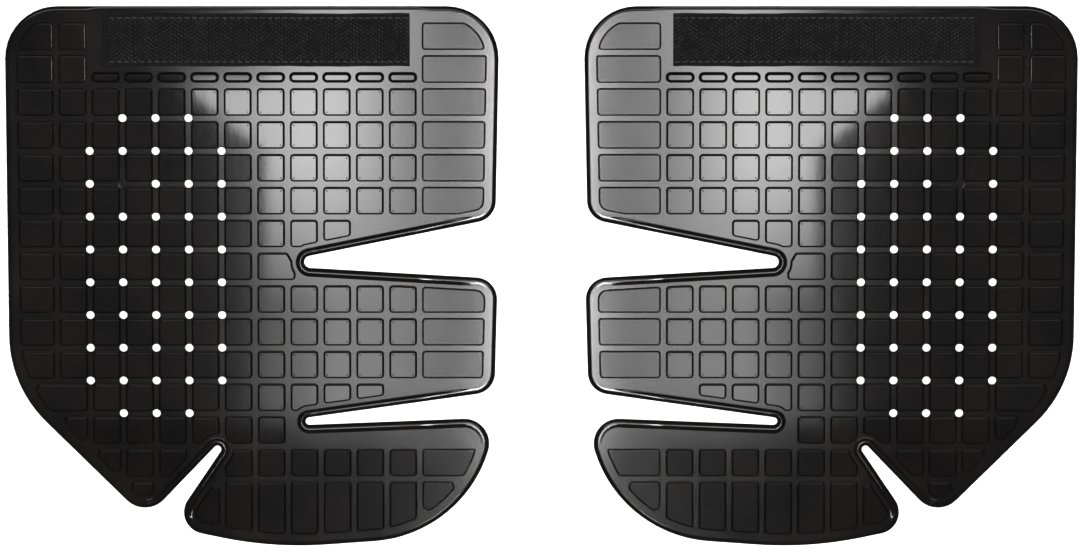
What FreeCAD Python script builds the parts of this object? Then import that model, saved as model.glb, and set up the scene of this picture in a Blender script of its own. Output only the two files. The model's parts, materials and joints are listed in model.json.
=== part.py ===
"""A pair of kick shields: two mirrored, flat-moulded rubber guards for the lower leg and instep.

Each guard is one flexible moulding: a sheet with a grid of raised pads, two darts on the inner side, a slot at the
heel, vent holes at the crossings of the gutters, and a hook tape sewn along the top edge.  The gutters are the flex
lines.  The moulding is modelled as rigid zones that meet at the flex lines where its flaps fold: a main panel, three
flaps that each end in a tab, and a heel tab.

Frame: millimetres, +Z up.  The guards lie pads up, with their flat backs on Z = 0.  X = 0 is the mirror plane
between the two guards, and the origin is the bottom centre of the pair.  Everything below is built once, for the
guard on the +X side, and mirrored for the other one.
"""
import FreeCAD, Part

import math
import os

from FreeCAD import Vector

# ---------------------------------------------------------------- driving dimensions
sheet_thickness = 2.5
pad_height = 2.5
low_pad_height = 1.2
pad_top_chamfer = 0.9
low_pad_top_chamfer = 0.72
pad_corner_radius = 1.6
edge_round = 1.4

grid_pitch = 15.8
gutter_width = 2.6
first_gutter_x = 232.3          # outermost of the gutters that run along Y
first_gutter_y = 107.9          # topmost of the gutters that run along X
gutters_along_y = 12
gutters_along_x = 14
pad_margin = 5.7                # from the outline to the nearest pad
top_row_edge = 122.4            # upper limit of the first row of pads
smallest_pad_area = 60.0

bead_width = 3.8
bead_height = 0.9
dart_bead_region = (34.0, -84.0, 142.0, 28.0)       # low x, low y, high x, high y
slot_bead_region = (142.0, -130.0, 202.0, -73.0)

vent_radius = 1.95
unpunched_depth = 1.0

tape_width = 25.4
tape_inner_x = 63.0
tape_outer_x = 210.0
tape_low_y = 101.3
tape_base_thickness = 0.7
tape_hook_height = 1.2
selvedge_width = 2.6
stitch_pitch = 3.6
stitch_length = 2.5
stitch_radius = 0.25
stitch_inset = 2.0

stud_length = 14.0              # the small long pads under the tape
stud_width = 5.2
stud_height = 2.0
stud_row_y = 96.0

flex_gap = 0.4                  # between two zones at a flex line
raised_flex_gap = 2.0           # between anything raised on two zones, so that it clears when they fold
tape_flex_gap = 3.6             # the tape is open this far where it crosses a flex line

# ---------------------------------------------------------------- outline: corner x, corner y, radius
outline_corners = [
    (257.0, 130.0, 25.0),       # top, outer side
    (255.5, -53.0, 59.0),       # heel shoulder
    (190.5, -117.0, 12.5),      # heel tip
    (142.5, -67.0, 1.8),        # end of the heel slot
    (179.0, -121.0, 10.5),      # foot, heel side
    (129.0, -131.4, 185.0),     # sole
    (38.5, -125.0, 62.0),       # toe
    (20.5, -68.0, 12.0),        # top of the foot flap
    (147.5, -73.0, 1.8),        # end of the lower dart
    (22.5, -55.5, 10.5),        # middle flap, lower corner
    (21.0, -1.0, 10.5),         # middle flap, upper corner
    (133.5, 5.5, 2.9),          # end of the upper dart
    (22.0, 28.0, 10.5),         # upper flap, lower corner
    (20.0, 130.0, 25.0),        # top, inner side
]

# ---------------------------------------------------------------- where the grid has no pad of its own
top_row, stud_gutter_row, bottom_row = 0, 1, gutters_along_x
outer_column, inner_column = 0, gutters_along_y
tape_columns = range(2, inner_column)
blank_cells = {(6, 10), (6, 11), (6, 12), (11, 11), (11, 12)}
merged_cells = {(7, 7): 8, (11, 0): 1, (12, 0): 1, (13, 1): 2}   # (row, first column): last column

# ---------------------------------------------------------------- flex lines
flap_root_x = first_gutter_x - 8 * grid_pitch
end_tab_x = first_gutter_x - 11 * grid_pitch
heel_flex_y = -81.9
upper_split_y = 8.0             # inside the upper dart for the whole width of the flaps
lower_split_y = -68.1           # inside the lower dart for the whole width of the flaps
heel_slot_end = Vector(155.7, heel_flex_y, 0)
heel_slot_direction = Vector(0.628, -0.778, 0)
far = 400.0                     # beyond the outline on every side
zone_bottom, zone_top = -5.0, 20.0                  # below and above everything on a guard

mirror_plane = (Vector(0, 0, 0), Vector(1, 0, 0))


def gutter_x(index):
    return first_gutter_x - index * grid_pitch


def gutter_y(index):
    return first_gutter_y - index * grid_pitch


# ---------------------------------------------------------------- plane shapes
def rounded_face(corners):
    """A flat face from corner points, each with its own radius."""
    points = [Vector(x, y, 0) for x, y, _ in corners]
    stretches = []
    for i, corner in enumerate(points):
        radius = corners[i][2]
        to_last = (points[i - 1] - corner).normalize()
        to_next = (points[(i + 1) % len(points)] - corner).normalize()
        half_angle = to_last.getAngle(to_next) / 2
        reach = radius / math.tan(half_angle)
        towards_centre = (to_last + to_next).normalize()
        middle = corner + towards_centre * (radius / math.sin(half_angle) - radius)
        stretches.append((corner + to_last * reach, middle, corner + to_next * reach))
    edges = []
    for i, (start, middle, end) in enumerate(stretches):
        edges.append(Part.Arc(start, middle, end).toShape())
        edges.append(Part.LineSegment(end, stretches[(i + 1) % len(stretches)][0]).toShape())
    return Part.Face(Part.Wire(edges))


def rectangle(low_x, low_y, high_x, high_y, z=0.0):
    return Part.Face(Part.makePolygon([
        Vector(low_x, low_y, z), Vector(high_x, low_y, z), Vector(high_x, high_y, z),
        Vector(low_x, high_y, z), Vector(low_x, low_y, z)]))


def with_round_corners(face, radius):
    """The same face with its outward corners rounded."""
    return face.makeOffset2D(-radius).makeOffset2D(radius)


def raised(face, bottom, top):
    solid = face.extrude(Vector(0, 0, top - bottom))
    solid.translate(Vector(0, 0, bottom))
    return solid


def edges_at(solid, z):
    """The edges that lie wholly at one height."""
    return [e for e in solid.Edges if abs(e.BoundBox.ZMin - z) < 1e-4 and abs(e.BoundBox.ZMax - z) < 1e-4]


# ---------------------------------------------------------------- pads
def pad_cells():
    """(row, column, rectangle) for each place on the grid that may hold a pad."""
    half = gutter_width / 2
    swallowed = {(row, column) for (row, first), last in merged_cells.items() for column in range(first + 1, last + 1)}
    for row in range(bottom_row + 1):
        high_y = top_row_edge if row == top_row else gutter_y(row - 1) - half
        low_y = -far if row == bottom_row else gutter_y(row) + half
        for column in range(inner_column + 1):
            under_tape = row <= stud_gutter_row and column in tape_columns
            if under_tape or (row, column) in blank_cells or (row, column) in swallowed:
                continue
            last = merged_cells.get((row, column), column)
            high_x = far if column == outer_column else gutter_x(column - 1) - half
            low_x = -far if last == inner_column else gutter_x(last) + half
            yield row, column, rectangle(low_x, low_y, high_x, high_y)


def pad(face, height, chamfer):
    """One raised pad, sunk a little into the sheet so that the two join."""
    top = sheet_thickness + height
    block = raised(with_round_corners(face, pad_corner_radius), sheet_thickness / 2, top)
    return block.makeChamfer(chamfer, edges_at(block, top))


def grid_pads(pad_region):
    pads = []
    for row, column, cell in pad_cells():
        is_low = column == inner_column or row <= stud_gutter_row
        size = (low_pad_height, low_pad_top_chamfer) if is_low else (pad_height, pad_top_chamfer)
        for face in cell.common(pad_region).Faces:
            if face.Area >= smallest_pad_area:
                pads.append(pad(face, *size))
    return pads


def stud_pads():
    """The row of small long pads just under the tape."""
    studs = []
    for column in tape_columns:
        middle = (gutter_x(column - 1) + gutter_x(column)) / 2
        face = rectangle(middle - stud_length / 2, stud_row_y - stud_width / 2,
                         middle + stud_length / 2, stud_row_y + stud_width / 2)
        rounded = with_round_corners(face, stud_width / 2 - 0.05)
        top = sheet_thickness + stud_height
        block = raised(rounded, sheet_thickness / 2, top)
        studs.append(block.makeChamfer(pad_top_chamfer, edges_at(block, top)))
    return studs


# ---------------------------------------------------------------- sheet, bead and vents
def sheet(outline):
    block = raised(outline, 0, sheet_thickness)
    return block.makeFillet(edge_round, edges_at(block, sheet_thickness))


def dart_beads(outline):
    """The raised bead that follows the edge round the two darts and the heel slot."""
    outer = outline.makeOffset2D(-edge_round)
    ring = outer.cut(outline.makeOffset2D(-bead_width))
    bead = raised(ring, sheet_thickness / 2, sheet_thickness + bead_height)
    return [bead.common(box_zone(*region)) for region in (dart_bead_region, slot_bead_region)]


def vent_columns(row):
    """The first and last rows of vents are shorter by one at each end."""
    first_row, last_row = 2, 11
    return range(2, 5) if row in (first_row, last_row) else range(1, 6)


def vents():
    """Round holes where the gutters cross.  One of them was never punched through."""
    unpunched = (4, 2)
    holes = []
    for row in range(2, 12):
        for column in vent_columns(row):
            bottom = sheet_thickness - unpunched_depth if (row, column) == unpunched else -1.0
            centre = Vector(gutter_x(column), gutter_y(row), bottom)
            holes.append(Part.makeCylinder(vent_radius, 10.0, centre))
    return holes


# ---------------------------------------------------------------- zones of one moulding
def box_zone(low_x, low_y, high_x, high_y):
    return raised(rectangle(low_x, low_y, high_x, high_y), zone_bottom, zone_top)


def heel_zone(gap):
    """Everything below the heel flex line and on the heel's side of the slot."""
    corner = heel_slot_end - Vector(0, gap / 2, 0)
    down_slot = corner + heel_slot_direction * far
    triangle = [corner, down_slot, Vector(down_slot.x, corner.y, 0), corner]
    return raised(Part.Face(Part.makePolygon(triangle)), zone_bottom, zone_top)


def zones(gap):
    """Zone name to the prism that cuts it out of the whole moulding, with a gap between it and its neighbours."""
    half = gap / 2
    bands = {
        "upper": (upper_split_y, far),
        "middle": (lower_split_y, upper_split_y),
        "foot": (-far, lower_split_y),
    }
    made = {"main_panel": box_zone(flap_root_x + half, -far, far, far).cut(heel_zone(-gap))}
    for name, (low_y, high_y) in bands.items():
        made[name + "_flap"] = box_zone(end_tab_x + half, low_y, flap_root_x - half, high_y)
        made[name + "_end_tab"] = box_zone(-far, low_y, end_tab_x - half, high_y)
    made["heel_tab"] = heel_zone(gap)
    return made


def moulding_zones():
    outline = rounded_face(outline_corners)
    base = sheet(outline)
    features = grid_pads(outline.makeOffset2D(-pad_margin)) + stud_pads() + dart_beads(outline)
    holes = vents()
    made = {}
    raised_prisms = zones(raised_flex_gap)
    for name, prism in zones(flex_gap).items():
        own = [f.common(raised_prisms[name]) for f in features]
        own = [f for f in own if f.Volume > 1.0]
        whole = base.common(prism).fuse(own).removeSplitter()
        own_holes = [h for h in holes if prism.BoundBox.isInside(h.BoundBox.Center)]
        made[name] = whole.cut(own_holes) if name == "main_panel" else whole
        solids = len(made[name].Solids)
        print(f"{name}: {len(own)} raised features, {solids} solid, {made[name].Volume / 1000:.1f} cm3")
    return made


# ---------------------------------------------------------------- hook tape and its stitching
def tape_stretches():
    """Name ending to the stretch of X that each side of the flex line holds."""
    half = tape_flex_gap / 2
    return {"": (flap_root_x + half, tape_outer_x), "_end": (tape_inner_x, flap_root_x - half)}


def tape(low_x, high_x):
    """Woven base with the field of hooks between its two selvedges."""
    length = high_x - low_x
    base = Part.makeBox(length, tape_width, tape_base_thickness, Vector(low_x, tape_low_y, sheet_thickness))
    field_width = tape_width - 2 * selvedge_width
    field_corner = Vector(low_x, tape_low_y + selvedge_width, sheet_thickness + tape_base_thickness)
    field = Part.makeBox(length, field_width, tape_hook_height, field_corner)
    return base.fuse(field).removeSplitter()


def stitching(low_x, high_x):
    """Two rows of lockstitch, one along each selvedge."""
    face_z = sheet_thickness + tape_base_thickness
    above = Part.makeBox(far, far, far, Vector(0, 0, face_z))
    count = int((high_x - low_x) / stitch_pitch)
    first = (low_x + high_x) / 2 - (count - 1) / 2 * stitch_pitch
    rows = (tape_low_y + stitch_inset, tape_low_y + tape_width - stitch_inset)
    stitches = []
    for row_y in rows:
        for i in range(count):
            start = Vector(first + i * stitch_pitch - stitch_length / 2, row_y, face_z)
            thread = Part.makeCylinder(stitch_radius, stitch_length, start, Vector(1, 0, 0))
            stitches.append(thread.common(above))
    return Part.makeCompound(stitches)


def tape_pieces():
    made = {}
    for ending, (low_x, high_x) in tape_stretches().items():
        made["hook_tape" + ending] = tape(low_x, high_x)
        made["tape_stitching" + ending] = stitching(low_x, high_x)
    return made


# ---------------------------------------------------------------- the pair
def build():
    os.makedirs("parts", exist_ok=True)
    pieces = {**moulding_zones(), **tape_pieces()}
    for name, shape in pieces.items():
        shape.exportStep(f"parts/right_{name}.step")
        shape.mirror(*mirror_plane).exportStep(f"parts/left_{name}.step")
    whole = Part.makeCompound(list(pieces.values()))
    print("one guard:", whole.BoundBox)
    print("flex lines: flap root x", round(flap_root_x, 2), "end tab x", round(end_tab_x, 2), "heel y", heel_flex_y)


build()
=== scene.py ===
"""Looks of a pair of kick shields: two mirrored, glossy black moulded guards, pads up on a pale floor.

Each guard starts as one solid: a sheet with a rounded rim, beads round its darts, a grid of raised pads and
a field of vent holes.  It is then cut along its flex gutters, and each flap gets extra edge loops across the
stretch where it meets its neighbour.
The hook tape, its hooks and its stitches are pieces of their own.  Lengths in the tables of shapes are
millimetres; everything that Blender holds is metres.  Shapes are made for the guard on the +X side and
mirrored for the other one.
"""

import json
import math

import bmesh
import bpy
from mathutils import Matrix, Vector


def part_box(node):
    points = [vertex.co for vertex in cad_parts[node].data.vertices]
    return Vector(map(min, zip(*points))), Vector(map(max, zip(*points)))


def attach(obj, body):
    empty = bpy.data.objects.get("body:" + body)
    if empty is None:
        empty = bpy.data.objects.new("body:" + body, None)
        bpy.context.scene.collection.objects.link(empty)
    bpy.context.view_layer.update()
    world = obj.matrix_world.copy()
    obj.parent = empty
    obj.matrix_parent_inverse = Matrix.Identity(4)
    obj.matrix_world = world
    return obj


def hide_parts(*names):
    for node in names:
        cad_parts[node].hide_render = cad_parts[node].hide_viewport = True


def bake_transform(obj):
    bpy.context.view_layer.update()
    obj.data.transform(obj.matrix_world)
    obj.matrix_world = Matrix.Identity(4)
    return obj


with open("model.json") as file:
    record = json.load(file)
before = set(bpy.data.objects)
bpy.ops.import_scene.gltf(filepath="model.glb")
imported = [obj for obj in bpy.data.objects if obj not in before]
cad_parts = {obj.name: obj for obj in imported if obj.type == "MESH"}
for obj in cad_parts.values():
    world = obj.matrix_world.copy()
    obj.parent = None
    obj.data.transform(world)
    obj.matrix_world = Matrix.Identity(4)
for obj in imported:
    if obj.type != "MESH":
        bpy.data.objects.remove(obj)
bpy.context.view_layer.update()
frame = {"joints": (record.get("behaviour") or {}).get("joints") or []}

MM = 0.001
UP = Vector((0, 0, 1))

# ---------------------------------------------------------------- sizes that come from the frame
sheet_top = frame["joints"][0]["pos_m"][2]
flap_root_x = abs(next(j for j in frame["joints"] if j["name"] == "right_upper_flap_fold")["pos_m"][0])
end_tab_x = abs(next(j for j in frame["joints"] if j["name"] == "right_upper_end_tab_fold")["pos_m"][0])
heel_flex_y = next(j for j in frame["joints"] if j["name"] == "right_heel_tab_fold")["pos_m"][1]
tape_low, tape_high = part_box("right_hook_tape")
tape_inner_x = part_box("right_hook_tape_end")[0].x

# ---------------------------------------------------------------- outline: corner x, corner y, radius
outline_corners = [
    (257.0, 130.0, 25.0), (255.5, -53.0, 59.0), (190.5, -117.0, 12.5), (142.5, -67.0, 1.8),
    (179.0, -121.0, 10.5), (129.0, -131.4, 185.0), (38.5, -125.0, 62.0), (20.5, -68.0, 12.0),
    (147.5, -73.0, 1.8), (22.5, -55.5, 10.5), (21.0, -1.0, 10.5), (133.5, 5.5, 2.9),
    (22.0, 28.0, 10.5), (20.0, 130.0, 25.0),
]
longest_edge = 4.0

# ---------------------------------------------------------------- pad grid
grid_pitch = 15.8
first_gutter_x = flap_root_x / MM + 8 * grid_pitch
first_gutter_y = 107.9
gutters_along_y = 12
gutters_along_x = 14
gutter_width = 2.4
pad_margin = 5.6
top_row_edge = 122.4
smallest_pad_area = 55.0
pad_corner_radius = 1.75
blunt_width = 3.8               # a pad's tip is cut off where it gets narrower than this
longest_cut = 8.5               # but never further back than this
sharp_opening = math.radians(68)        # a tip that opens less than this is cut off
least_corner = math.radians(24)         # the outline of a pad turns at least this much at a corner
narrow_end_turn = math.radians(110)     # and this much over the two corners of a narrow end
most_end_cuts = 30
stud_length, stud_width, stud_corner, stud_y = 14.0, 5.2, 2.45, 96.0

# ---------------------------------------------------------------- profiles: (inwards, upwards) steps
tall_pad = [
    (0.0, 0.43), (0.12, 0.09), (0.1, 0.35), (0.14, 0.75), (0.14, 0.68), (0.14, 0.38), (0.18, 0.18),
    (0.2, 0.04),
]
low_pad = [(0.0, 0.43), (0.14, 0.10), (0.1, 0.25), (0.1, 0.42), (0.14, 0.28), (0.18, 0.13), (0.2, 0.02)]
stud = [(0.0, 0.43), (0.16, 0.12), (0.2, 0.5), (0.25, 0.55), (0.3, 0.45), (0.3, 0.25), (0.3, 0.08)]
buried = 0.4                    # how far the pads reach down into the sheet
pip_depth, pip_rise = 0.32, 0.12
pip_low_radius, pip_high_radius = 0.85, 0.25
pip_inset = 0.85                # from the edges of a square top to the middle of a pip

# rim and bead: distance from the edge, how far the rim drops there, how far a full bead rises there
rim_profile = [
    (0.0, 1.70, 0.0), (0.22, 1.00, 0.30), (0.6, 0.45, 0.62), (1.1, 0.15, 0.90), (1.7, 0.02, 1.0),
    (2.2, 0.0, 1.0), (2.7, 0.0, 0.86), (3.2, 0.0, 0.40), (3.7, 0.0, 0.08), (4.1, 0.0, 0.0),
]
bead_height = 1.25
land_low_x, land_high_x = 56.4, 216.7

vent_radius = 1.95


def smooth(low, high, value):
    """0 below low, 1 above high, and a smooth rise between."""
    t = min(max((value - low) / (high - low), 0.0), 1.0)
    return t * t * (3 - 2 * t)


def gutter_x(index):
    return first_gutter_x - index * grid_pitch


def gutter_y(index):
    return first_gutter_y - index * grid_pitch


# ---------------------------------------------------------------- making objects
def new_object(name, bm):
    """A linked object that takes over the bmesh."""
    mesh = bpy.data.meshes.new(name)
    bm.to_mesh(mesh)
    bm.free()
    made = bpy.data.objects.new(name, mesh)
    bpy.context.scene.collection.objects.link(made)
    return made


def discard(made):
    mesh = made.data
    bpy.data.objects.remove(made)
    bpy.data.meshes.remove(mesh)


def combine(base, tool, operation):
    """base joined with, cut by or kept inside tool.  Both must be closed."""
    modifier = base.modifiers.new("combine", "BOOLEAN")
    modifier.solver = "MANIFOLD"
    modifier.operation = operation
    modifier.object = tool
    evaluated = base.evaluated_get(bpy.context.evaluated_depsgraph_get())
    mesh = bpy.data.meshes.new_from_object(evaluated)
    base.modifiers.clear()
    old = base.data
    base.data = mesh
    mesh.name = base.name
    bpy.data.meshes.remove(old)
    return base


def slab(name, low, high):
    """A box from its lowest to its highest corner, in millimetres."""
    bm = bmesh.new()
    bmesh.ops.create_cube(bm, size=1.0)
    size = [b - a for a, b in zip(low, high)]
    middle = [(a + b) / 2 for a, b in zip(low, high)]
    bmesh.ops.scale(bm, vec=[s * MM for s in size], verts=bm.verts)
    bmesh.ops.translate(bm, vec=[m * MM for m in middle], verts=bm.verts)
    return new_object(name, bm)


def shade_smooth(mesh, degrees=44):
    """Smooth shading on everything that curves; level faces stay flat, so that their gloss doesn't swim."""
    mesh.set_sharp_from_angle(angle=math.radians(degrees))
    for polygon in mesh.polygons:
        polygon.use_smooth = abs(polygon.normal.z) < 0.9995


# ---------------------------------------------------------------- outline
def round_corner(bm, before, corner, after, radius):
    """The arc of one corner, spun about its centre.  Returns its first and last vertex."""
    to_last = (before - corner).normalized()
    to_next = (after - corner).normalized()
    half = to_last.angle(to_next) / 2
    centre = corner + (to_last + to_next).normalized() * (radius / math.sin(half))
    turn = math.pi - 2 * half
    steps = max(math.ceil(turn / 0.16), math.ceil(turn * radius / longest_edge / MM))
    direction = 1 if to_last.cross(to_next).z < 0 else -1
    first = bm.verts.new(corner + to_last * (radius / math.tan(half)))
    spun = bmesh.ops.spin(bm, geom=[first], cent=centre, axis=UP, angle=direction * turn, steps=steps)
    return first, spun["geom_last"][0]


def outline_face():
    """A bmesh with one flat face in the outline's shape."""
    bm = bmesh.new()
    points = [Vector((x * MM, y * MM, 0)) for x, y, _ in outline_corners]
    arcs = []
    for i, corner in enumerate(points):
        after = points[(i + 1) % len(points)]
        arcs.append(round_corner(bm, points[i - 1], corner, after, outline_corners[i][2] * MM))
    for i, (_, last) in enumerate(arcs):
        bm.edges.new((last, arcs[(i + 1) % len(arcs)][0]))
    too_long = bm.edges[:]
    while too_long:
        bmesh.ops.subdivide_edges(bm, edges=too_long, cuts=1)
        too_long = [e for e in bm.edges if e.calc_length() > longest_edge * MM]
    bmesh.ops.contextual_create(bm, geom=bm.edges[:])
    face_up(bm)
    return bm


def face_up(bm):
    for face in bm.faces:
        face.normal_update()
        if face.normal.z < 0:
            face.normal_flip()


# ---------------------------------------------------------------- sheet with its rim and beads
def bead_strength(x, y):
    """1 where the bead round the darts and the heel slot stands at its full height, 0 where there is none."""
    if x < 132 and -80 < y < 31:
        return smooth(26, 62, x)
    if 148 < x < 190 and -119 < y < -76:
        return smooth(-119, -104, y)
    return 0.0


def land_strength(x, y):
    """1 along the land for the hook tape, where the sheet runs flat to its edge."""
    if y < 118:
        return 0.0
    starts = smooth(land_low_x - 1.5, land_low_x + 1.5, x)
    ends = smooth(-land_high_x - 1.5, -land_high_x + 1.5, -x)
    return starts * ends


def sheet_height(point, drop, rise):
    x, y = point.x / MM, point.y / MM
    drop_here = drop * (1 - 0.8 * land_strength(x, y))
    return sheet_top + (rise * bead_height * bead_strength(x, y) - drop_here) * MM


def sheet_blank():
    bm = outline_face()
    floor_face = bm.faces[:][0]
    lifted = bmesh.ops.extrude_face_region(bm, geom=[floor_face])["geom"]
    top = next(part for part in lifted if isinstance(part, bmesh.types.BMFace))
    bmesh.ops.translate(bm, vec=UP * sheet_top, verts=top.verts)
    reached = 0.0
    for distance, drop, rise in rim_profile:
        if distance > reached:
            step = (distance - reached) * MM
            bmesh.ops.inset_region(bm, faces=[top], thickness=step, use_even_offset=True)
            reached = distance
        for vertex in top.verts:
            vertex.co.z = sheet_height(vertex.co, drop, rise)
    cut_between_pads(bm)
    bmesh.ops.recalc_face_normals(bm, faces=bm.faces)
    return new_object("sheet", bm)


# ---------------------------------------------------------------- pads
def bisect_all(bm, point, normal):
    everything = bm.verts[:] + bm.edges[:] + bm.faces[:]
    bmesh.ops.bisect_plane(bm, geom=everything, plane_co=point, plane_no=normal)


def cut_between_pads(bm):
    """Cuts the sheet along each gutter and halfway between, so that no pad lands inside one face."""
    for i in range(2 * gutters_along_y + 1):
        bisect_all(bm, Vector((gutter_x(i / 2 - 0.5) * MM, 0, 0)), Vector((1, 0, 0)))
    for i in range(2 * gutters_along_x + 1):
        bisect_all(bm, Vector((0, gutter_y(i / 2 - 0.5) * MM, 0)), Vector((0, 1, 0)))


def cut_into_cells(bm):
    half = gutter_width / 2
    for i in range(gutters_along_y):
        for side in (-half, half):
            bisect_all(bm, Vector(((gutter_x(i) + side) * MM, 0, 0)), Vector((1, 0, 0)))
    for i in range(gutters_along_x):
        for side in (-half, half):
            bisect_all(bm, Vector((0, (gutter_y(i) + side) * MM, 0)), Vector((0, 1, 0)))
    bisect_all(bm, Vector((0, top_row_edge * MM, 0)), Vector((0, 1, 0)))


def strip_index(value, first, count):
    """(row or column of a face's centre, whether the centre is in the gutter after it)."""
    steps = (first - value) / grid_pitch
    nearest = round(steps)
    in_gutter = 0 <= nearest < count and abs(steps - nearest) * grid_pitch < gutter_width / 2
    index = nearest if in_gutter else min(max(math.ceil(steps), 0), count)
    return index, in_gutter


def place_of(face):
    """Row and column of a face, with .5 added where it lies in the gutter that follows them."""
    centre = face.calc_center_median_weighted() / MM
    column, beside = strip_index(centre.x, first_gutter_x, gutters_along_y)
    row, below = strip_index(centre.y, first_gutter_y, gutters_along_x)
    return row + 0.5 * below, column + 0.5 * beside


# (row, column) of the places without a pad, then (row, first column) and last column of the joined pads
blank_cells = {(6, 10), (6, 11), (6, 12), (11, 11), (11, 12), (12, 8), (12, 9), (12, 10), (12, 11), (12, 12)}
joined_cells = {(7, 7): 8, (11, 0): 1, (12, 0): 1, (13, 1): 2}


def joined_group(row, column):
    """The first cell of the joined group that a place belongs to, or None."""
    for (group_row, first), last in joined_cells.items():
        if row == group_row and first <= column <= last:
            return group_row, first
    return None


def is_pad(row, column, face):
    in_gutter = row % 1 or column % 1
    under_tape = row <= 1 and 2 <= column < gutters_along_y
    above = face.calc_center_median().y > top_row_edge * MM
    return not (in_gutter or under_tape or above or (row, column) in blank_cells)


def pad_faces():
    """A bmesh with one flat, round-cornered face for each pad."""
    bm = outline_face()
    inner = bm.faces[:][0]
    ring = bmesh.ops.inset_region(
        bm, faces=[inner], thickness=pad_margin * MM, use_even_offset=True, use_boundary=True)
    bmesh.ops.delete(bm, geom=ring["faces"], context="FACES")
    cut_into_cells(bm)
    groups = {}
    waste = []
    for face in bm.faces:
        row, column = place_of(face)
        group = joined_group(row, column)
        if group:
            groups.setdefault(group, []).append(face)
        elif not is_pad(row, column, face):
            waste.append(face)
    bmesh.ops.delete(bm, geom=waste, context="FACES")
    for faces in groups.values():
        bmesh.ops.dissolve_faces(bm, faces=[f for f in faces if f.is_valid], use_verts=False)
    crumbs = [f for f in bm.faces if f.calc_area() < smallest_pad_area * MM * MM]
    bmesh.ops.delete(bm, geom=crumbs, context="FACES")
    bmesh.ops.remove_doubles(bm, verts=bm.verts, dist=0.05 * MM)
    straighten_runs(bm)
    square_off_narrow_ends(bm)
    blunt_sharp_tips(bm)
    make_room_for_corners(bm)
    round_pad_corners(bm)
    face_up(bm)
    return bm


def corner_angle(vertex):
    """How far the outline turns at a vertex."""
    a, b = (e.other_vert(vertex).co - vertex.co for e in vertex.link_edges)
    return math.pi - a.angle(b)


def straighten_runs(bm):
    straight = [v for v in bm.verts if len(v.link_edges) == 2 and corner_angle(v) < math.radians(0.5)]
    bmesh.ops.dissolve_verts(bm, verts=straight)


def is_corner(vertex):
    return corner_angle(vertex) > least_corner


def is_sharp(vertex):
    return math.pi - corner_angle(vertex) < sharp_opening


def is_narrow_end(edge):
    """A short edge between two corners that together turn the outline back on itself."""
    if edge.calc_length() > 0.85 * blunt_width * MM:
        return False
    turns = [corner_angle(v) for v in edge.verts]
    return min(turns) > least_corner and sum(turns) > narrow_end_turn


def cut_off(bm, face, place, outwards):
    """Cuts one pad's face straight across and drops what lies outwards."""
    own = [face, *face.edges, *face.verts]
    bmesh.ops.bisect_plane(bm, geom=own, plane_co=place, plane_no=outwards, clear_outer=True)


def cut_depth(missing_width, half_opening):
    """How far back from a tip the pad is wider by missing_width."""
    return min(missing_width / 2 / math.tan(half_opening), longest_cut * MM)


def square_off_narrow_ends(bm):
    """Cuts back each end that is too narrow, to where the pad is wide enough."""
    for _ in range(most_end_cuts):
        short = next(filter(is_narrow_end, bm.edges), None)
        if not short:
            break
        sides_of_end = []
        for vertex in short.verts:
            side = next(e for e in vertex.link_edges if e != short)
            sides_of_end.append((vertex.co - side.other_vert(vertex).co).normalized())
        outwards = (sides_of_end[0] + sides_of_end[1]).normalized()
        half = sides_of_end[0].angle(sides_of_end[1]) / 2
        depth = cut_depth(blunt_width * MM - short.calc_length(), half)
        middle = (short.verts[0].co + short.verts[1].co) / 2
        cut_off(bm, short.link_faces[0], middle - outwards * depth, outwards)


def blunt_sharp_tips(bm):
    """Cuts off each tip where the pad gets narrower than blunt_width."""
    sharp = next(filter(is_sharp, bm.verts), None)
    while sharp:
        inwards = [(e.other_vert(sharp).co - sharp.co).normalized() for e in sharp.link_edges]
        outwards = -(inwards[0] + inwards[1]).normalized()
        depth = cut_depth(blunt_width * MM, (math.pi - corner_angle(sharp)) / 2)
        cut_off(bm, sharp.link_faces[0], sharp.co - outwards * depth, outwards)
        sharp = next(filter(is_sharp, bm.verts), None)


def corner_reach(vertex):
    """How far from a corner its rounding starts."""
    opening = math.pi - corner_angle(vertex)
    return pad_corner_radius * MM / math.tan(opening / 2)


def make_room_for_corners(bm):
    """Straightens a curved edge just beside a corner, so that the corner's rounding fits on it."""
    for _ in range(4):
        crowding = set()
        for corner in filter(is_corner, bm.verts):
            for edge in corner.link_edges:
                if edge.calc_length() < 1.1 * corner_reach(corner):
                    crowding.add(edge.other_vert(corner))
        bmesh.ops.dissolve_verts(bm, verts=[v for v in crowding if not is_corner(v)])


def round_pad_corners(bm):
    """Rounds all corners to one radius, in passes for the corners that need the same cut."""
    step = 0.2 * MM
    cut = bm.verts.layers.int.new("cut")
    for corner in filter(is_corner, bm.verts):
        room = 0.48 * min(e.calc_length() for e in corner.link_edges)
        corner[cut] = round(min(corner_reach(corner), room) / step)
    for size in sorted({v[cut] for v in bm.verts} - {0}):
        chosen = [v for v in bm.verts if v[cut] == size]
        made = bmesh.ops.bevel(
            bm, geom=chosen, offset=size * step, offset_type="OFFSET", affect="VERTICES", segments=4,
            profile=0.5, clamp_overlap=False, material=-1)
        for vertex in made["verts"]:
            vertex[cut] = 0
    bmesh.ops.remove_doubles(bm, verts=bm.verts, dist=0.2 * MM)


def is_low(face):
    row, column = place_of(face)
    return column == gutters_along_y or row <= 1


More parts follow.
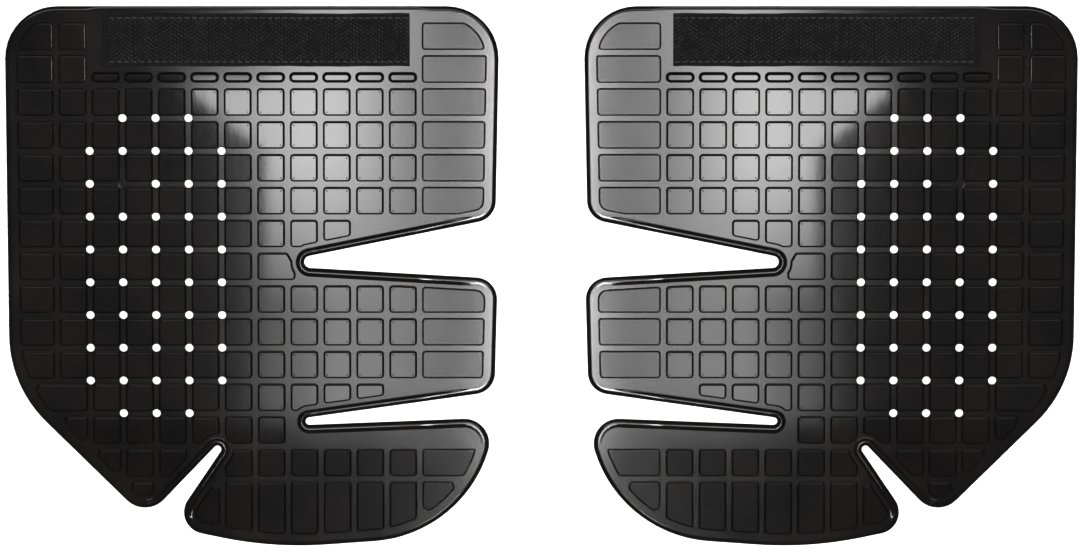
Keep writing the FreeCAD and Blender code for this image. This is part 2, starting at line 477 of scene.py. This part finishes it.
def raise_by_profile(bm, faces, profile):
    """Closed pads from flat faces: each step insets the tops and lifts them.  Returns the tops."""
    lifted = bmesh.ops.extrude_face_region(bm, geom=faces)["geom"]
    tops = [part for part in lifted if isinstance(part, bmesh.types.BMFace)]
    first_lift = profile[0][1]
    moved = {v for top in tops for v in top.verts}
    bmesh.ops.translate(bm, vec=UP * first_lift * MM, verts=list(moved))
    for inwards, upwards in profile[1:]:
        bmesh.ops.inset_individual(
            bm, faces=tops, thickness=inwards * MM, depth=upwards * MM, use_even_offset=True)
    bmesh.ops.remove_doubles(bm, verts=[v for top in tops for v in top.verts], dist=0.12 * MM)
    return [top for top in tops if top.is_valid]


def add_pips(bm, tops):
    """A small pip in each corner of the square tops, where the mould was vented."""
    spots = []
    for top in tops:
        xs = [v.co.x / MM for v in top.verts]
        ys = [v.co.y / MM for v in top.verts]
        if top.calc_area() / MM / MM > 0.93 * (max(xs) - min(xs)) * (max(ys) - min(ys)):
            z = top.verts[0].co.z / MM - pip_depth / 2 + pip_rise
            for x in (min(xs) + pip_inset, max(xs) - pip_inset):
                spots += [(x, min(ys) + pip_inset, z), (x, max(ys) - pip_inset, z)]
    for spot in spots:
        place = Matrix.Translation(Vector(spot) * MM)
        bmesh.ops.create_cone(
            bm, cap_ends=True, segments=8, radius1=pip_low_radius * MM, radius2=pip_high_radius * MM,
            depth=pip_depth * MM, matrix=place)


def grid_pads():
    bm = pad_faces()
    faces = bm.faces[:]
    low = [f for f in faces if is_low(f)]
    tall = [f for f in faces if not is_low(f)]
    raise_by_profile(bm, low, low_pad)
    add_pips(bm, raise_by_profile(bm, tall, tall_pad))
    bmesh.ops.recalc_face_normals(bm, faces=bm.faces)
    bmesh.ops.translate(bm, vec=UP * (sheet_top - buried * MM), verts=bm.verts)
    return new_object("pads", bm)


def tape_studs():
    """The row of small long pads just under the tape."""
    bm = bmesh.new()
    for column in range(2, gutters_along_y):
        middle = (gutter_x(column - 1) + gutter_x(column)) / 2
        shape = Matrix.Diagonal((stud_length / 2 * MM, stud_width / 2 * MM, 1, 1))
        place = Matrix.Translation(Vector((middle, stud_y, 0)) * MM) @ shape
        bmesh.ops.create_grid(bm, x_segments=1, y_segments=1, size=1.0, matrix=place)
    bmesh.ops.bevel(
        bm, geom=bm.verts[:], offset=stud_corner * MM, offset_type="OFFSET", affect="VERTICES", segments=5,
        profile=0.5, clamp_overlap=True, material=-1)
    face_up(bm)
    raise_by_profile(bm, bm.faces[:], stud)
    bmesh.ops.recalc_face_normals(bm, faces=bm.faces)
    bmesh.ops.translate(bm, vec=UP * (sheet_top - buried * MM), verts=bm.verts)
    return new_object("studs", bm)


# ---------------------------------------------------------------- vents
def vent_columns(row):
    """The first and last rows of vents are shorter by one at each end."""
    return range(2, 5) if row in (2, 11) else range(1, 6)


blind_vent = (4, 2)             # row, column


def vent_drills():
    """One tool solid with a drill at each vent.  One drill stops short, so that its vent is blind."""
    top = sheet_top / MM
    profile = [(0, -1), (vent_radius, -1), (vent_radius, top - 0.6), (vent_radius + 0.12, top - 0.28),
               (vent_radius + 0.5, top + 0.02), (vent_radius + 0.5, top + 1.5), (0, top + 1.5)]
    bm = bmesh.new()
    line = [bm.verts.new((r * MM, 0, z * MM)) for r, z in profile]
    edges = [bm.edges.new(pair) for pair in zip(line, line[1:])]
    bmesh.ops.spin(
        bm, geom=line + edges, cent=(0, 0, 0), axis=UP, angle=2 * math.pi, steps=28, use_merge=True)
    bmesh.ops.remove_doubles(bm, verts=bm.verts, dist=0.001 * MM)
    bmesh.ops.recalc_face_normals(bm, faces=bm.faces)
    pattern = bm.verts[:] + bm.edges[:] + bm.faces[:]
    for row in range(2, 12):
        for column in vent_columns(row):
            copy = bmesh.ops.duplicate(bm, geom=pattern)["geom"]
            verts = [part for part in copy if isinstance(part, bmesh.types.BMVert)]
            lift = top - 0.1 if (row, column) == blind_vent else 0.0
            bmesh.ops.translate(bm, vec=Vector((gutter_x(column), gutter_y(row), lift)) * MM, verts=verts)
    bmesh.ops.delete(bm, geom=[p for p in pattern if isinstance(p, bmesh.types.BMVert)], context="VERTS")
    return new_object("vent_drills", bm)


# ---------------------------------------------------------------- one whole moulding and its zones
def whole_moulding():
    body = sheet_blank()
    steps = ((grid_pads(), "UNION"), (tape_studs(), "UNION"), (vent_drills(), "DIFFERENCE"))
    for tool, operation in steps:
        combine(body, tool, operation)
        discard(tool)
    return body


bend_reach = 1.15               # from a flex line to each end of the stretch that bends
upper_split_y, lower_split_y = 8.0, -68.1           # inside the two darts, all the way along the flaps
heel_slot_x = 155.0
heel_middle_x = 0.19            # metres
far = 400.0
zone_bottom, zone_top = -50, 50


def heel_prism(name):
    """The zone below the heel flex line, on the heel's side of the slot."""
    corner = Vector((heel_slot_x, heel_flex_y / MM + bend_reach, zone_bottom)) * MM
    down_slot = corner + Vector((0.314, -0.389, 0))
    bm = bmesh.new()
    path = [corner, down_slot, Vector((down_slot.x, corner.y, corner.z))]
    loop = [bm.verts.new(p) for p in path]
    face = bm.faces.new(loop)
    lifted = bmesh.ops.extrude_face_region(bm, geom=[face])["geom"]
    verts = [part for part in lifted if isinstance(part, bmesh.types.BMVert)]
    bmesh.ops.translate(bm, vec=UP * 0.1, verts=verts)
    bmesh.ops.recalc_face_normals(bm, faces=bm.faces)
    return new_object(name, bm)


def zone_prisms():
    """Zone name to the solid that holds that zone and nothing else."""
    root = flap_root_x / MM + bend_reach
    tab = end_tab_x / MM + bend_reach
    bands = {
        "upper": (upper_split_y, far),
        "middle": (lower_split_y, upper_split_y),
        "foot": (-far, lower_split_y),
    }
    prisms = {
        "main_panel": slab("main_zone", (root, -far, zone_bottom), (far, far, zone_top)),
        "heel_tab": heel_prism("heel_zone"),
    }
    for band, (low_y, high_y) in bands.items():
        prisms[band + "_flap"] = slab(band, (tab, low_y, zone_bottom), (root, high_y, zone_top))
        prisms[band + "_end_tab"] = slab(band + "_tab", (-10, low_y, zone_bottom), (tab, high_y, zone_top))
    combine(prisms["main_panel"], prisms["heel_tab"], "DIFFERENCE")
    return prisms


def zone_solids():
    """Zone name to a mesh, for the +X guard."""
    body = whole_moulding()
    meshes = {}
    for zone, prism in zone_prisms().items():
        piece = bpy.data.objects.new(zone, body.data.copy())
        bpy.context.scene.collection.objects.link(piece)
        combine(piece, prism, "INTERSECT")
        discard(prism)
        meshes[zone] = piece.data
        bpy.data.objects.remove(piece)
    discard(body)
    return meshes


def with_bend_cuts(bm, start, end, count=6):
    """Extra edge loops across the stretch that bends."""
    for i in range(1, count):
        bisect_all(bm, start.lerp(end, i / count), (end - start).normalized())


# ---------------------------------------------------------------- where each piece rides
sides = {"left": -1, "right": 1}


def flex_line(side, zone):
    """(body that it hangs from, start and end of the bend) in the row frame, or None for the main panel."""
    s = sides[side]
    reach = bend_reach * MM
    if zone == "main_panel":
        return None
    if zone == "heel_tab":
        x, y = s * heel_middle_x, heel_flex_y
        return f"{side}_main_panel", Vector((x, y + reach, 0)), Vector((x, y - reach, 0))
    is_tab = zone.endswith("_end_tab")
    x = end_tab_x if is_tab else flap_root_x
    parent = zone.replace("_end_tab", "_flap") if is_tab else "main_panel"
    return f"{side}_{parent}", Vector((s * (x + reach), 0, 0)), Vector((s * (x - reach), 0, 0))


def mirrored(bm):
    bmesh.ops.scale(bm, vec=(-1, 1, 1), verts=bm.verts)
    bmesh.ops.reverse_faces(bm, faces=bm.faces)


def moulding_piece(side, zone, mesh, material):
    bm = bmesh.new()
    bm.from_mesh(mesh)
    if side == "left":
        mirrored(bm)
    flex = flex_line(side, zone)
    if flex:
        with_bend_cuts(bm, flex[1], flex[2])
    piece = new_object(f"{side}_{zone}_moulding", bm)
    shade_smooth(piece.data)
    piece.data.materials.append(material)
    if flex:
        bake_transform(piece)
    else:
        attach(piece, f"{side}_{zone}")
    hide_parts(f"{side}_{zone}")
    return piece


# ---------------------------------------------------------------- hook tape
hook_pitch = 1.5
hook_row_pitch = 1.9
selvedge = 2.6
stitch_pitch = 3.6
stitch_inset = 2.2
tape_bend_reach = 2.2
web_thickness, web_rounding = 0.7, 0.22


def tape_web():
    """The woven strip, with a line cut along each selvedge and its top edges rounded."""
    low_y, high_y = tape_low.y, tape_high.y
    bm = bmesh.new()
    middle = Vector(((tape_inner_x + tape_high.x) / 2, (low_y + high_y) / 2, sheet_top))
    size = ((tape_high.x - tape_inner_x) / 2, (high_y - low_y) / 2)
    place = Matrix.Translation(middle) @ Matrix.Diagonal((size[0], size[1], 1, 1))
    bmesh.ops.create_grid(bm, x_segments=100, y_segments=1, size=1.0, matrix=place)
    for y in (low_y + selvedge * MM, high_y - selvedge * MM):
        bisect_all(bm, Vector((0, y, 0)), Vector((0, 1, 0)))
    for vertex in bm.verts:
        wander = 0.12 * math.sin(vertex.co.x / MM * 0.11) + 0.07 * math.sin(vertex.co.x / MM * 0.37 + 1)
        vertex.co.y += wander * MM
    lifted = bmesh.ops.extrude_face_region(bm, geom=bm.faces[:])["geom"]
    verts = [part for part in lifted if isinstance(part, bmesh.types.BMVert)]
    bmesh.ops.translate(bm, vec=UP * web_thickness * MM, verts=verts)
    bmesh.ops.recalc_face_normals(bm, faces=bm.faces)
    high = [e for e in bm.edges if min(v.co.z for v in e.verts) > sheet_top]
    rim = [e for e in high if e.is_manifold and e.calc_face_angle() > 0.5]
    bmesh.ops.bevel(
        bm, geom=rim, offset=web_rounding * MM, offset_type="OFFSET", affect="EDGES", segments=2, profile=0.5,
        clamp_overlap=True, material=-1)
    return bm


def single_hook(lean):
    """A stem that curls over at its top, leaning along the tape."""
    bm = bmesh.new()
    quarter = Matrix.Rotation(math.pi / 4, 4, "Z")
    bmesh.ops.create_circle(bm, cap_ends=True, segments=4, radius=0.2 * MM, matrix=quarter)
    end = bmesh.ops.extrude_face_region(bm, geom=bm.faces[:])["geom"]
    tip = next(part for part in end if isinstance(part, bmesh.types.BMFace))
    bmesh.ops.translate(bm, vec=UP * 0.62 * MM, verts=tip.verts)
    centre = tip.calc_center_median() + Vector((0.34 * MM, 0, 0))
    end = [tip, *tip.edges, *tip.verts]
    bmesh.ops.spin(bm, geom=end, cent=centre, axis=(0, 1, 0), angle=math.radians(190), steps=4)
    bmesh.ops.recalc_face_normals(bm, faces=bm.faces)
    bmesh.ops.rotate(bm, cent=(0, 0, 0), matrix=Matrix.Rotation(lean, 3, "Z"), verts=bm.verts)
    mesh = bpy.data.meshes.new("hook")
    bm.to_mesh(mesh)
    bm.free()
    return mesh


def hook_field():
    """Staggered rows of hooks; each group of columns leans the other way from the last."""
    base = sheet_top + 0.6 * MM
    first_x = tape_inner_x + 1.0 * MM
    low_y = tape_low.y + (selvedge + 0.5) * MM
    rows = int((tape_high.y - tape_low.y - (2 * selvedge + 0.8) * MM) / (hook_row_pitch * MM)) + 1
    columns = int((tape_high.x - first_x - 0.6 * MM) / (hook_pitch * MM))
    shapes = [single_hook(lean) for lean in (0.75, math.pi - 0.75)]
    field = bmesh.new()
    for column in range(columns):
        lean = (column // 4) % 2
        stagger = 0.5 * (column % 2)
        for row in range(rows):
            jitter = 0.16 * math.sin(12.9 * column + 4.1 * row)
            x = first_x + (column * hook_pitch + jitter) * MM
            y = low_y + (row + stagger) * hook_row_pitch * MM + 0.1 * math.sin(7.7 * row + column) * MM
            if y > tape_high.y - selvedge * MM:
                continue
            before = len(field.verts)
            field.from_mesh(shapes[lean])
            field.verts.ensure_lookup_table()
            bmesh.ops.translate(field, vec=(x, y, base), verts=field.verts[before:])
    for shape in shapes:
        bpy.data.meshes.remove(shape)
    return field


def stitch_rows():
    """Short raised stitches, one row along each selvedge."""
    bm = bmesh.new()
    count = int((tape_high.x - tape_inner_x) / (stitch_pitch * MM))
    for row_y in (tape_low.y + stitch_inset * MM, tape_high.y - stitch_inset * MM):
        for i in range(count):
            x = tape_inner_x + (i + 0.6) * stitch_pitch * MM
            place = Matrix.Translation((x, row_y, sheet_top + 0.72 * MM)) @ Matrix.Rotation(0.06, 4, "Z")
            shape = Matrix.Diagonal((1.35 * MM, 0.3 * MM, 0.24 * MM, 1))
            bmesh.ops.create_uvsphere(bm, u_segments=8, v_segments=6, radius=1.0, matrix=place @ shape)
    return bm


def tape_piece(side, name, make, material, nodes):
    bm = make()
    if side == "left":
        mirrored(bm)
    s = sides[side]
    start = Vector((s * (flap_root_x + tape_bend_reach * MM), 0, 0))
    end = Vector((s * (flap_root_x - tape_bend_reach * MM), 0, 0))
    if name == "hook_tape_web":
        with_bend_cuts(bm, start, end)
    piece = new_object(f"{side}_{name}", bm)
    shade_smooth(piece.data)
    piece.data.materials.append(material)
    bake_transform(piece)
    if nodes:
        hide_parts(*(f"{side}_{node}" for node in nodes))
    return piece


# ---------------------------------------------------------------- materials
class Value:
    """A shader socket, so that node maths reads as arithmetic."""

    def __init__(self, finish, socket):
        self.finish = finish
        self.socket = socket

    def _maths(self, operation, *others):
        return self.finish.node("ShaderNodeMath", {"operation": operation}, dict(enumerate((self, *others))))

    def __add__(self, other):
        return self._maths("ADD", other)

    __radd__ = __add__

    def __mul__(self, other):
        return self._maths("MULTIPLY", other)

    __rmul__ = __mul__

    def __sub__(self, other):
        return self._maths("SUBTRACT", other)

    def __rsub__(self, other):
        return (self * -1.0) + other

    def above(self, limit, width):
        """0 below limit, 1 above limit + width."""
        spread = (self - limit) * (1.0 / width)
        return spread._maths("MINIMUM", 1.0)._maths("MAXIMUM", 0.0)


class Finish:
    """One material and its nodes."""

    def __init__(self, name):
        self.material = bpy.data.materials.new(name)
        self.material.use_nodes = True
        self.tree = self.material.node_tree
        self.shader = self.tree.nodes["Principled BSDF"]
        self.places = self.node("ShaderNodeTexCoord", output="Object")

    def node(self, kind, settings=None, inputs=None, output=0):
        made = self.tree.nodes.new(kind)
        for key, value in (settings or {}).items():
            if key == "stops":
                self.set_stops(made.color_ramp, value)
            else:
                setattr(made, key, value)
        for key, value in (inputs or {}).items():
            self.feed(made.inputs[key], value)
        return Value(self, made.outputs[output])

    def feed(self, socket, value):
        if isinstance(value, Value):
            value = value.socket
        if isinstance(value, bpy.types.NodeSocket):
            self.tree.links.new(value, socket)
        else:
            socket.default_value = value

    @staticmethod
    def set_stops(ramp, stops):
        for element, (position, shade) in zip(ramp.elements, stops):
            element.position = position
            element.color = (*shade, 1)
        for position, shade in stops[2:]:
            ramp.elements.new(position).color = (*shade, 1)

    def noise(self, scale, detail=2.0, roughness=0.5, stretch=(1, 1, 1)):
        place = self.node("ShaderNodeMapping", None, {"Vector": self.places, "Scale": stretch})
        inputs = {"Vector": place, "Scale": scale, "Detail": detail, "Roughness": roughness}
        return self.node("ShaderNodeTexNoise", None, inputs, "Fac")

    def height(self):
        split = self.node("ShaderNodeSeparateXYZ", None, {"Vector": self.places})
        return Value(self, split.socket.node.outputs["Z"])

    def set(self, **sockets):
        for name, value in sockets.items():
            self.feed(self.shader.inputs[name.replace("_", " ")], value)

    def bump(self, height, strength, distance):
        inputs = {"Height": height, "Strength": strength, "Distance": distance}
        normal = self.node("ShaderNodeBump", None, inputs)
        self.set(Normal=normal)


def moulding_finish():
    """Glossy black moulding: mirror-like pad tops, and gutters that keep the duller skin of the mould."""
    finish = Finish("glossy_black_moulding")
    tops = finish.height().above(sheet_top + 1.0 * MM, 0.5 * MM)
    cloud = finish.noise(38.0, 3.0)
    smear = finish.noise(420.0, 4.0, 0.6, (1.0, 0.25, 1.0))
    grain = finish.noise(2600.0, 2.0, 0.6)
    shade = {"stops": [(0.3, (0.0022, 0.0021, 0.0021)), (0.75, (0.0042, 0.0036, 0.0034))]}
    colour = finish.node("ShaderNodeValToRGB", shade, {"Fac": cloud}, "Color")
    gutter_roughness = 0.07 + cloud * 0.04
    top_roughness = 0.02 + smear * 0.04
    roughness = gutter_roughness + (top_roughness - gutter_roughness) * tops
    finish.set(Base_Color=colour, Roughness=roughness, IOR=1.5)
    finish.bump(smear * 0.6 + grain * 0.25, 0.2, 0.01 * MM)
    return finish.material


def tape_finish():
    """Matt woven nylon."""
    finish = Finish("woven_nylon_tape")
    rib = {"wave_type": "BANDS", "bands_direction": "X"}
    ribs = {"Vector": finish.places, "Scale": 420.0, "Distortion": 0.6}
    across = finish.node("ShaderNodeTexWave", rib, ribs, "Fac")
    along = {"wave_type": "BANDS", "bands_direction": "Y"}
    yarns = {"Vector": finish.places, "Scale": 520.0, "Distortion": 0.4}
    warp = finish.node("ShaderNodeTexWave", along, yarns, "Fac")
    weave = across * warp
    fuzz = finish.noise(900.0, 3.0)
    shade = {"stops": [(0.0, (0.0005, 0.0005, 0.0005)), (1.0, (0.0034, 0.0033, 0.0034))]}
    colour = finish.node("ShaderNodeValToRGB", shade, {"Fac": weave * 0.6 + fuzz * 0.4}, "Color")
    finish.set(Base_Color=colour, Roughness=0.7 + fuzz * 0.2)
    finish.bump(weave + fuzz * 0.4, 0.8, 0.25 * MM)
    return finish.material


def hook_finish():
    finish = Finish("nylon_hooks")
    # The hooks' own colour is the near-black end of the ramp; the lighter end, where the noise is high, is
    # painted glint that stands in for the shine of their gloss.
    cloud = finish.noise(300.0, 2.0)
    shade = {"stops": [(0.42, (0.0008, 0.0008, 0.0008)), (0.68, (0.042, 0.041, 0.042))]}
    colour = finish.node("ShaderNodeValToRGB", shade, {"Fac": cloud}, "Color")
    finish.set(Base_Color=colour, Roughness=0.35 + cloud * 0.2)
    return finish.material


def thread_finish():
    finish = Finish("bonded_thread")
    twist = {"wave_type": "BANDS", "bands_direction": "DIAGONAL"}
    ply = finish.node("ShaderNodeTexWave", twist, {"Vector": finish.places, "Scale": 700.0}, "Fac")
    shade = {"stops": [(0.2, (0.006, 0.006, 0.006)), (0.9, (0.045, 0.044, 0.044))]}
    colour = finish.node("ShaderNodeValToRGB", shade, {"Fac": ply}, "Color")
    finish.set(Base_Color=colour, Roughness=0.5 + ply * 0.15)
    finish.bump(ply, 0.6, 0.08 * MM)
    return finish.material


# ---------------------------------------------------------------- the pair
def make_pair():
    moulding = moulding_finish()
    tape, hooks, thread = tape_finish(), hook_finish(), thread_finish()
    meshes = zone_solids()
    for side in sides:
        for zone, mesh in meshes.items():
            moulding_piece(side, zone, mesh, moulding)
        tape_piece(side, "hook_tape_web", tape_web, tape, ("hook_tape", "hook_tape_end"))
        tape_piece(side, "hook_tape_hooks", hook_field, hooks, ())
        stitching = ("tape_stitching", "tape_stitching_end")
        tape_piece(side, "tape_stitches", stitch_rows, thread, stitching)
    for mesh in meshes.values():
        bpy.data.meshes.remove(mesh)


# ---------------------------------------------------------------- studio
view_width = 0.5184             # of the floor that the camera sees, from side to side
camera_distance = 4.0
camera_tilt = math.radians(5.5)


def make_camera():
    camera = bpy.data.objects.new("camera", bpy.data.cameras.new("camera"))
    bpy.context.scene.collection.objects.link(camera)
    camera.data.sensor_width = 36
    camera.data.lens = 36 * camera_distance / view_width
    camera.data.clip_end = 50
    height = camera_distance * math.cos(camera_tilt)
    camera.location = (-0.0007, camera_distance * math.sin(camera_tilt), height)
    camera.rotation_euler = (-camera_tilt, 0, 0)
    bpy.context.scene.camera = camera


def plain_sheet(name, width, depth, place):
    bm = bmesh.new()
    shape = Matrix.Diagonal((width / 2, depth / 2, 1, 1))
    placed = Matrix.Translation(place) @ shape
    bmesh.ops.create_grid(bm, x_segments=1, y_segments=1, size=1.0, matrix=placed)
    made = new_object(name, bm)
    return made


def make_floor():
    floor = plain_sheet("floor", 8, 8, (0, 0, -0.0002))
    finish = Finish("pale_floor")
    cloud = finish.noise(3.0)
    finish.set(Base_Color=(0.92, 0.92, 0.92, 1), Roughness=0.9 + cloud * 0.05)
    floor.data.materials.append(finish.material)
    floor.visible_glossy = False


def light_card(name, corner, width, depth, height, shine):
    """A softbox that is seen only in the gloss.  shine is a strength, or a function that makes one."""
    card = plain_sheet(name, width, depth, (corner[0] + width / 2, corner[1] + depth / 2, height))
    finish = Finish(name)
    strength = shine(finish) if callable(shine) else shine
    glow = finish.node("ShaderNodeEmission", None, {"Strength": strength}, "Emission")
    finish.tree.links.new(glow.socket, finish.tree.nodes["Material Output"].inputs["Surface"])
    card.data.materials.append(finish.material)
    card.visible_camera = False
    card.visible_diffuse = False
    card.visible_shadow = False


# How bright the overhead softbox looks in level gloss, by distance from the mirror plane in metres: over the
# upper flap, over the middle flap and over the foot.  The strip in the middle shows only in sloping edges.
upper_glow = [
    (0.0, 2.4), (0.012, 2.4), (0.016, 0.10), (0.046, 0.145), (0.066, 0.26), (0.082, 0.42), (0.098, 0.56),
    (0.114, 0.57), (0.128, 0.50), (0.1312, 0.46), (0.1320, 0.055), (0.145, 0.036), (0.161, 0.013),
    (0.177, 0.006), (0.26, 0.004),
]
middle_glow = [
    (0.0, 2.4), (0.012, 2.4), (0.016, 0.12), (0.046, 0.13), (0.066, 0.205), (0.098, 0.215), (0.114, 0.135),
    (0.130, 0.085), (0.145, 0.020), (0.161, 0.008), (0.177, 0.005), (0.26, 0.003),
]
foot_glow = [
    (0.0, 1.2), (0.012, 1.2), (0.016, 0.03), (0.046, 0.024), (0.066, 0.017), (0.082, 0.011), (0.114, 0.006),
    (0.145, 0.003), (0.161, 0.001), (0.26, 0.0005),
]
glow_reach = 0.26
patch_low_x, patch_high_x, patch_high_y = 0.131, 0.166, 0.093
card_height = 1.2
face_reflectance = 0.04


def overhead_shine(finish):
    """The overhead card's glow, so that a level face at (x, y) shows the glow meant for that place."""
    spread = 1 + card_height / (camera_distance * math.cos(camera_tilt))
    shift = camera_distance * math.sin(camera_tilt) * (spread - 1)
    split = finish.node("ShaderNodeSeparateXYZ", None, {"Vector": finish.places})
    across = Value(finish, split.socket.node.outputs["X"])._maths("ABSOLUTE") * (1 / spread)
    along = (Value(finish, split.socket.node.outputs["Y"]) + shift) * (1 / spread)
    bands = []
    for stops in (upper_glow, middle_glow, foot_glow):
        scaled = [(place / glow_reach, (glow, glow, glow)) for place, glow in stops]
        reach = {"Fac": across * (1 / glow_reach)}
        bands.append(finish.node("ShaderNodeValToRGB", {"stops": scaled}, reach, "Color"))
    in_upper = along.above(-0.012, 0.070)
    in_middle = along.above(-0.074, 0.012)
    under_corner = (across - 0.139) * 0.815 - along + 0.067
    corner_patch = (1.0 - under_corner.above(0.0, 0.001)) * across.above(patch_low_x, 0.0005)
    corner_patch = corner_patch * (1.0 - across.above(patch_high_x, 0.001))
    corner_patch = corner_patch * (1.0 - along.above(patch_high_y, 0.006))
    upper = bands[0] + corner_patch * 0.42
    upper = upper * (1.0 - 0.55 * along.above(patch_high_y, 0.010) * across.above(0.090, 0.040))
    lower = bands[2] * (1.0 - in_middle) + bands[1] * in_middle
    return (lower * (1.0 - in_upper) + upper * in_upper) * (1 / face_reflectance)


def make_lights():
    world = bpy.data.worlds.new("studio")
    bpy.context.scene.world = world
    world.use_nodes = True
    world.node_tree.nodes["Background"].inputs["Color"].default_value = (0.02, 0.02, 0.02, 1)
    wash = bpy.data.objects.new("wash", bpy.data.lights.new("wash", "AREA"))
    bpy.context.scene.collection.objects.link(wash)
    wash.data.shape = "RECTANGLE"
    wash.data.size, wash.data.size_y = 4, 4
    wash.data.energy = 330
    wash.location = (0, 0, 2.6)
    wash.visible_glossy = False
    light_card("overhead_softbox", (-0.45, -0.40), 0.90, 0.56, card_height, overhead_shine)
    light_card("far_strip", (-0.7, 0.42), 1.4, 0.35, card_height, 2.5)


bpy.context.scene.view_settings.view_transform = "Standard"
make_camera()
make_floor()
make_lights()
make_pair()
